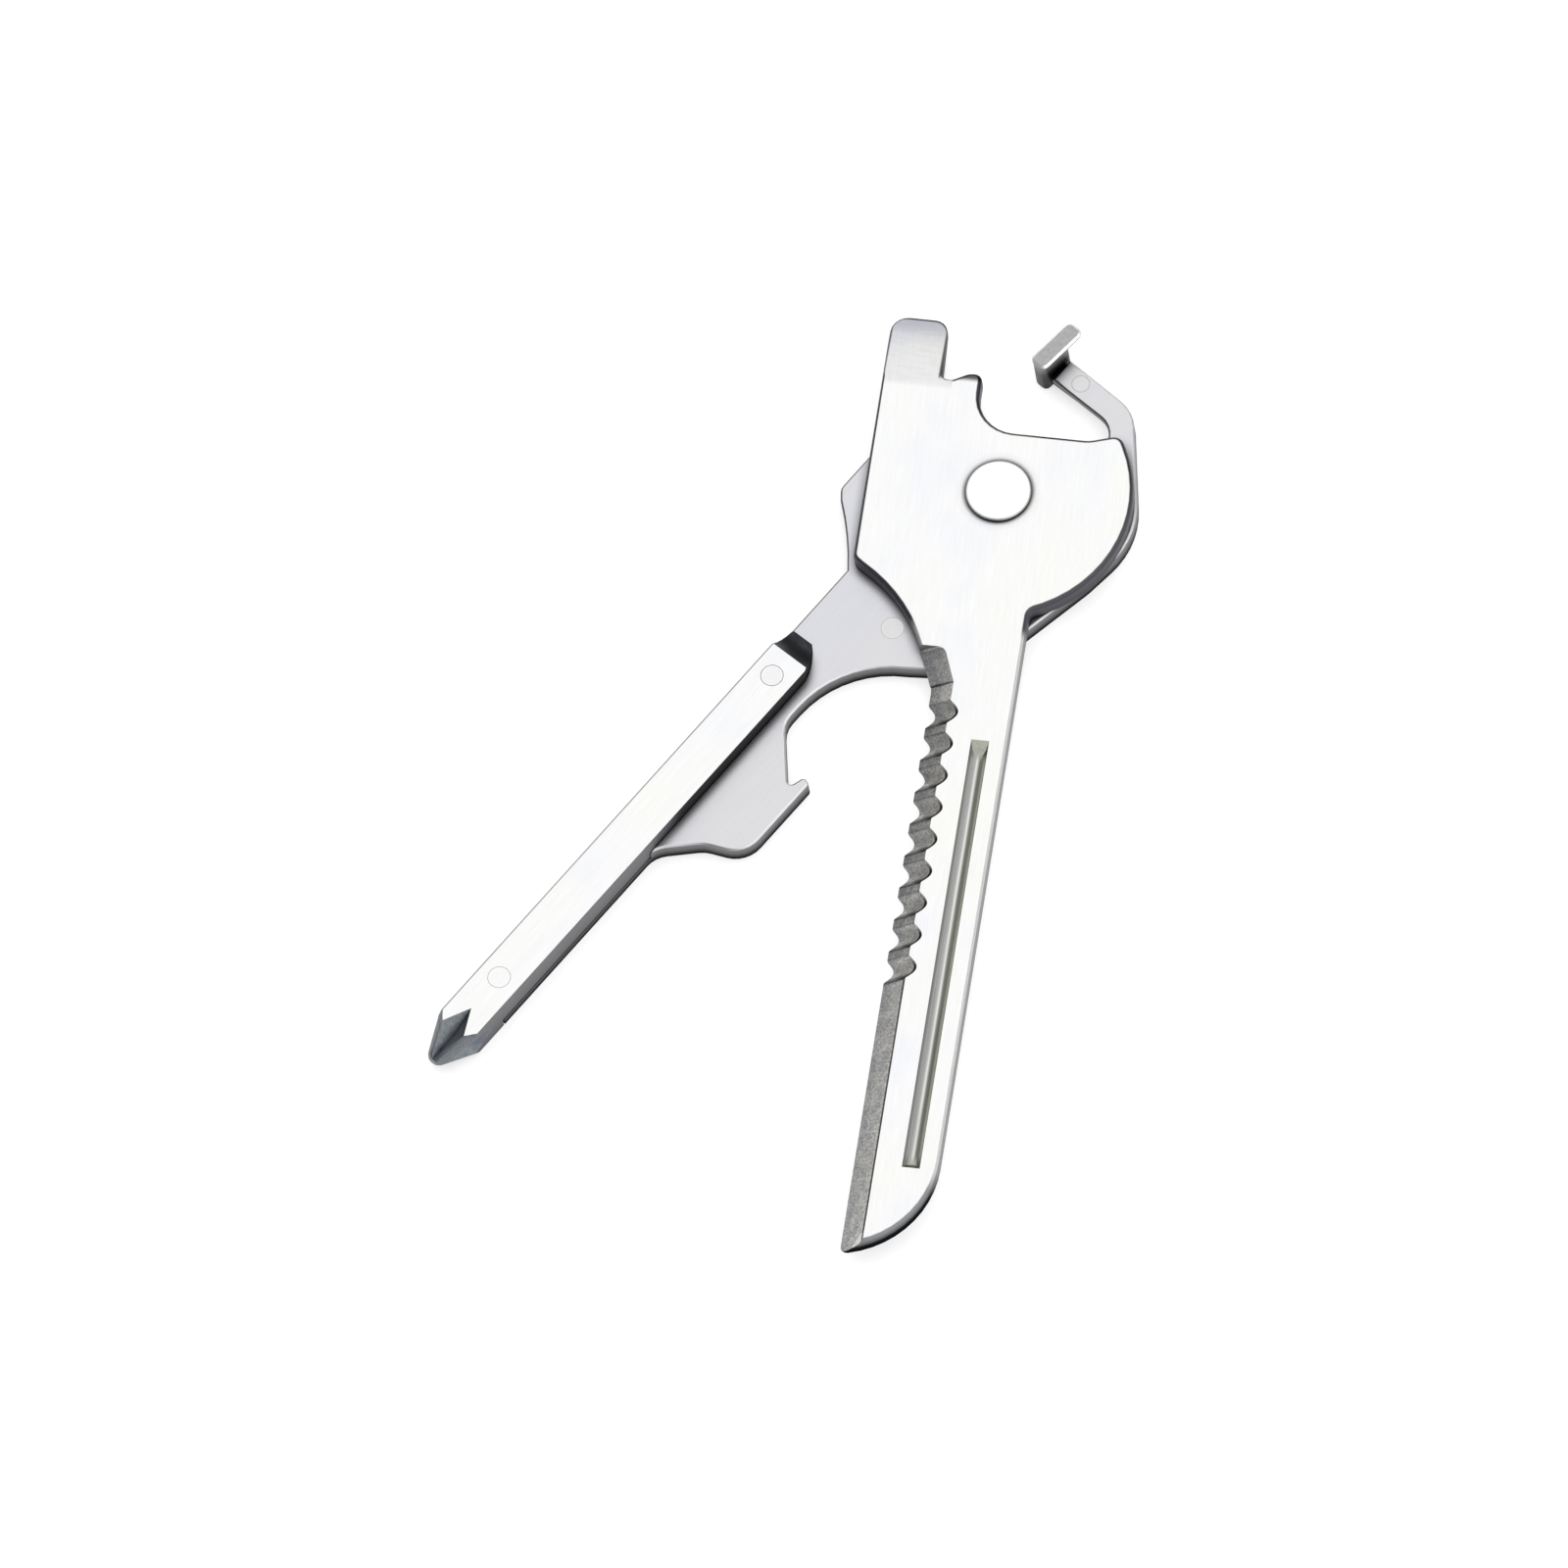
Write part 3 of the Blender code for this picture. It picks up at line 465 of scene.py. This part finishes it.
def skin(node, body, zones, crisp=30, swell=1.0):
    """A finer skin that stands for a CAD node; zones are (material, test), and the last one takes the rest.

    swell widens it about its own upright axis.
    """
    bm = bmesh.new()
    bm.from_mesh(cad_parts[node].data)
    bmesh.ops.remove_doubles(bm, verts=bm.verts, dist=1e-7)
    bmesh.ops.recalc_face_normals(bm, faces=bm.faces)
    bmesh.ops.dissolve_limit(bm, angle_limit=math.radians(0.2), verts=bm.verts, edges=bm.edges)
    about = Matrix.Translation(middle(node))
    swollen = about @ Matrix.Diagonal((swell, swell, 1, 1)) @ about.inverted()
    bmesh.ops.transform(bm, matrix=swollen, verts=bm.verts)
    tests = [test for _, test in zones[:-1]]
    for face in bm.faces:
        centre = face.calc_center_median()
        hits = [i for i, test in enumerate(tests) if test(centre, face.normal)]
        face.material_index = hits[0] if hits else len(tests)
    mesh = bpy.data.meshes.new(node + "_skin")
    bm.to_mesh(mesh)
    bm.free()
    for name in ("custom_normal", "sharp_edge", "sharp_face"):
        if name in mesh.attributes:
            mesh.attributes.remove(mesh.attributes[name])
    piece = bpy.data.objects.new(node + "_skin", mesh)
    bpy.context.collection.objects.link(piece)
    for material, _ in zones:
        mesh.materials.append(material)
    mesh.shade_smooth()
    mesh.set_sharp_from_angle(angle=math.radians(crisp))
    weighted = piece.modifiers.new("weighted_normals", "WEIGHTED_NORMAL")
    weighted.keep_sharp = True
    weighted.weight = 100
    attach(piece, body)
    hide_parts(node)


# ---------------------------------------------------------------- the pieces

def beside_plate(s):
    """The mask of a dark film of painted shade on the driver bar's side, where the tool plate lies beside
    it.
    """
    along = s.node("ShaderNodeVectorMath", {0: s.place.outputs["Object"], 1: tuple(BAR_WAY)}, "Value",
                   operation="DOT_PRODUCT")
    return s.rise(along, HOOK_FOOT - 2 * MM, HOOK_FOOT + 1 * MM)


def bar_left_edge(s):
    """A dark line of painted shade along the driver bar's left edge."""
    across = s.node("ShaderNodeVectorMath", {0: s.place.outputs["Object"], 1: (-BAR_WAY.y, BAR_WAY.x, 0)},
                    "Value", operation="DOT_PRODUCT")
    return s.rise(across, BAR_LEFT + 0.17 * MM, BAR_LEFT + 0.07 * MM)


def plate_foot(s):
    """The mask of a dark film of painted shade at the foot of the tool plate's sides."""
    _, _, z = s.coordinates()
    return s.rise(z, 0.0, 0.9 * MM)


FLUTED = flute_steel("ground_flute", 0.22, 0.30)
RAMP = flute_steel("ground_ramp", 0.035, 0.4)
DULL = plain_steel("washer_steel", 0.30, 0.25, 0.22, (0, BLADE_BACK), rough=0.42)
BACK = plain_steel("satin_back", 0.40, 0.60, (0.20, 0.20, 0.21), (0.1 * MM, TOOL_TOP), rough=0.36,
                   turn=BAR_TURN, contrast=0.035, corners=0.10, foot=0.06, tones=LAVENDER, painted_shade=plate_foot)
BAR = plain_steel("satin_bar", FRONT, 0.40, (0.165, 0.165, 0.175), (0, BAR_TOP), turn=BAR_TURN,
                  corners=0.10, foot=0.6, painted_shade=beside_plate, edge=bar_left_edge)

skin("blade_plate", "blade_side", (
    (bevel_steel(), in_bevel), (groove_steel(), in_groove), (front_steel(), None)))
skin("pivot_rivet", "blade_side", (
    (turned_steel("turned_head", Vector(), 0.56, 0.07), None),))
for washer in ("thrust_washer", "spring_washer", "rivet_collar"):
    skin(washer, "blade_side", ((DULL, None),))
skin("tool_plate", "tool_side", ((BACK, None),))
skin("driver_bar", "tool_side", ((FLUTED, on_tip), (RAMP, on_ramp), (BAR, None)))
# the pins' ends all but fill the 0.05 mm gap round them; the fuller it is, the fainter their outline
for pin, face, swell in (("driver_pin_upper", 0.475, 1.02), ("driver_pin_lower", 0.50, 1.035),
                         ("neck_pin", 0.392, 1.05), ("latch_pin", 0.385, 1.05)):
    skin(pin, "tool_side", ((turned_steel(pin + "_end", middle(pin), face, 0.3), None),),
         swell=swell)
skin("latch_stud", "tool_side", ((stud_steel(), None),))


# ---------------------------------------------------------------- floor, lights, camera

VIEW_TURN = math.radians(18.55)
VIEW_HEIGHT = math.radians(65)
VIEW_ROLL = math.radians(-11)
LENS = 1500
SENSOR = 36
FRAME_WIDTH = 107.7 * MM
PANEL_TURN = math.radians(65)
PANEL_HEIGHT = math.radians(22)
PANEL_REACH = (0.45, 0.85)          # cosines from the panel's middle at which it begins and is full
PANEL_LIGHT = 1.1
SKY_LOW = 0.28
SKY_HIGH = 0.40
FLOOR_HALF = 1.5
FLOOR_DROP = 0.02 * MM
FLOOR_TONE = 0.38
FLOOR_GLOW = 0.62


def direction(turn, height):
    """A unit vector at an angle round from -Y and a height above the floor."""
    return Vector((math.sin(turn) * math.cos(height), -math.cos(turn) * math.cos(height), math.sin(height)))


def add_floor():
    """A plain floor that glows a little, so that it stays white round the object's soft shadow."""
    bm = bmesh.new()
    bmesh.ops.create_grid(bm, x_segments=1, y_segments=1, size=FLOOR_HALF)
    bmesh.ops.translate(bm, verts=bm.verts, vec=(0, 0, -FLOOR_DROP))
    mesh = bpy.data.meshes.new("floor")
    bm.to_mesh(mesh)
    bm.free()
    floor = bpy.data.objects.new("floor", mesh)
    bpy.context.collection.objects.link(floor)
    material = bpy.data.materials.new("pale_floor")
    material.use_nodes = True
    shader = material.node_tree.nodes["Principled BSDF"]
    shader.inputs["Base Color"].default_value = (FLOOR_TONE, FLOOR_TONE, FLOOR_TONE, 1)
    shader.inputs["Emission Color"].default_value = (1, 1, 1, 1)
    shader.inputs["Emission Strength"].default_value = FLOOR_GLOW
    shader.inputs["Roughness"].default_value = 0.9
    shader.inputs["Specular IOR Level"].default_value = 0.1
    mesh.materials.append(material)


def add_light(name, way, distance, size, power):
    """A round lamp at a distance from the origin, facing it."""
    light = bpy.data.lights.new(name, "AREA")
    light.shape = "DISK"
    light.size = size
    light.energy = power
    lamp = bpy.data.objects.new(name, light)
    lamp.location = way * distance
    lamp.rotation_euler = way.to_track_quat("Z", "Y").to_euler()
    lamp.visible_camera = False
    bpy.context.collection.objects.link(lamp)
    return lamp


def add_world():
    """A soft room: bright overhead, dimmer towards the horizon, with a bright panel low on one side."""
    world = bpy.data.worlds.new("studio")
    world.use_nodes = True
    bpy.context.scene.world = world
    tree = world.node_tree
    place = tree.nodes.new("ShaderNodeTexCoord")
    split = tree.nodes.new("ShaderNodeSeparateXYZ")
    tree.links.new(place.outputs["Generated"], split.inputs["Vector"])
    sky = tree.nodes.new("ShaderNodeMapRange")
    sky.inputs["To Min"].default_value = SKY_LOW
    sky.inputs["To Max"].default_value = SKY_HIGH
    tree.links.new(split.outputs["Z"], sky.inputs["Value"])
    towards = tree.nodes.new("ShaderNodeVectorMath")
    towards.operation = "DOT_PRODUCT"
    towards.inputs[1].default_value = direction(PANEL_TURN, PANEL_HEIGHT)
    tree.links.new(place.outputs["Generated"], towards.inputs[0])
    panel = tree.nodes.new("ShaderNodeMapRange")
    panel.interpolation_type = "SMOOTHSTEP"
    panel.inputs["From Min"].default_value = PANEL_REACH[0]
    panel.inputs["From Max"].default_value = PANEL_REACH[1]
    panel.inputs["To Max"].default_value = PANEL_LIGHT
    tree.links.new(towards.outputs["Value"], panel.inputs["Value"])
    both = tree.nodes.new("ShaderNodeMath")
    tree.links.new(sky.outputs["Result"], both.inputs[0])
    tree.links.new(panel.outputs["Result"], both.inputs[1])
    tree.links.new(both.outputs[0], tree.nodes["Background"].inputs["Color"])


def add_camera():
    """The camera looks at the middle of what it sees of the object."""
    way = direction(VIEW_TURN, VIEW_HEIGHT)
    turn = way.to_track_quat("Z", "Y").to_matrix() @ Matrix.Rotation(VIEW_ROLL, 3, "Z")
    seen = [turn.transposed() @ v.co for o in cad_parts.values() for v in o.data.vertices]
    centre = Vector([(min(p[i] for p in seen) + max(p[i] for p in seen)) / 2 for i in range(3)])
    camera = bpy.data.cameras.new("camera")
    camera.lens = LENS
    camera.sensor_width = SENSOR
    camera.clip_start = 0.01
    obj = bpy.data.objects.new("camera", camera)
    obj.matrix_world = turn.to_4x4()
    obj.location = turn @ centre + way * (FRAME_WIDTH * LENS / SENSOR)
    bpy.context.collection.objects.link(obj)
    bpy.context.scene.camera = obj


add_floor()
add_world()
# the softbox stands where the flat fronts mirror it to the camera
add_light("softbox", direction(VIEW_TURN + math.pi, VIEW_HEIGHT), distance=0.5, size=1.0, power=4.0)
fill = add_light("fill", Vector((0, 0, 1)), distance=1.2, size=1.5, power=4.0)
fill.visible_glossy = False
add_camera()
bpy.context.scene.view_settings.view_transform = "Standard"
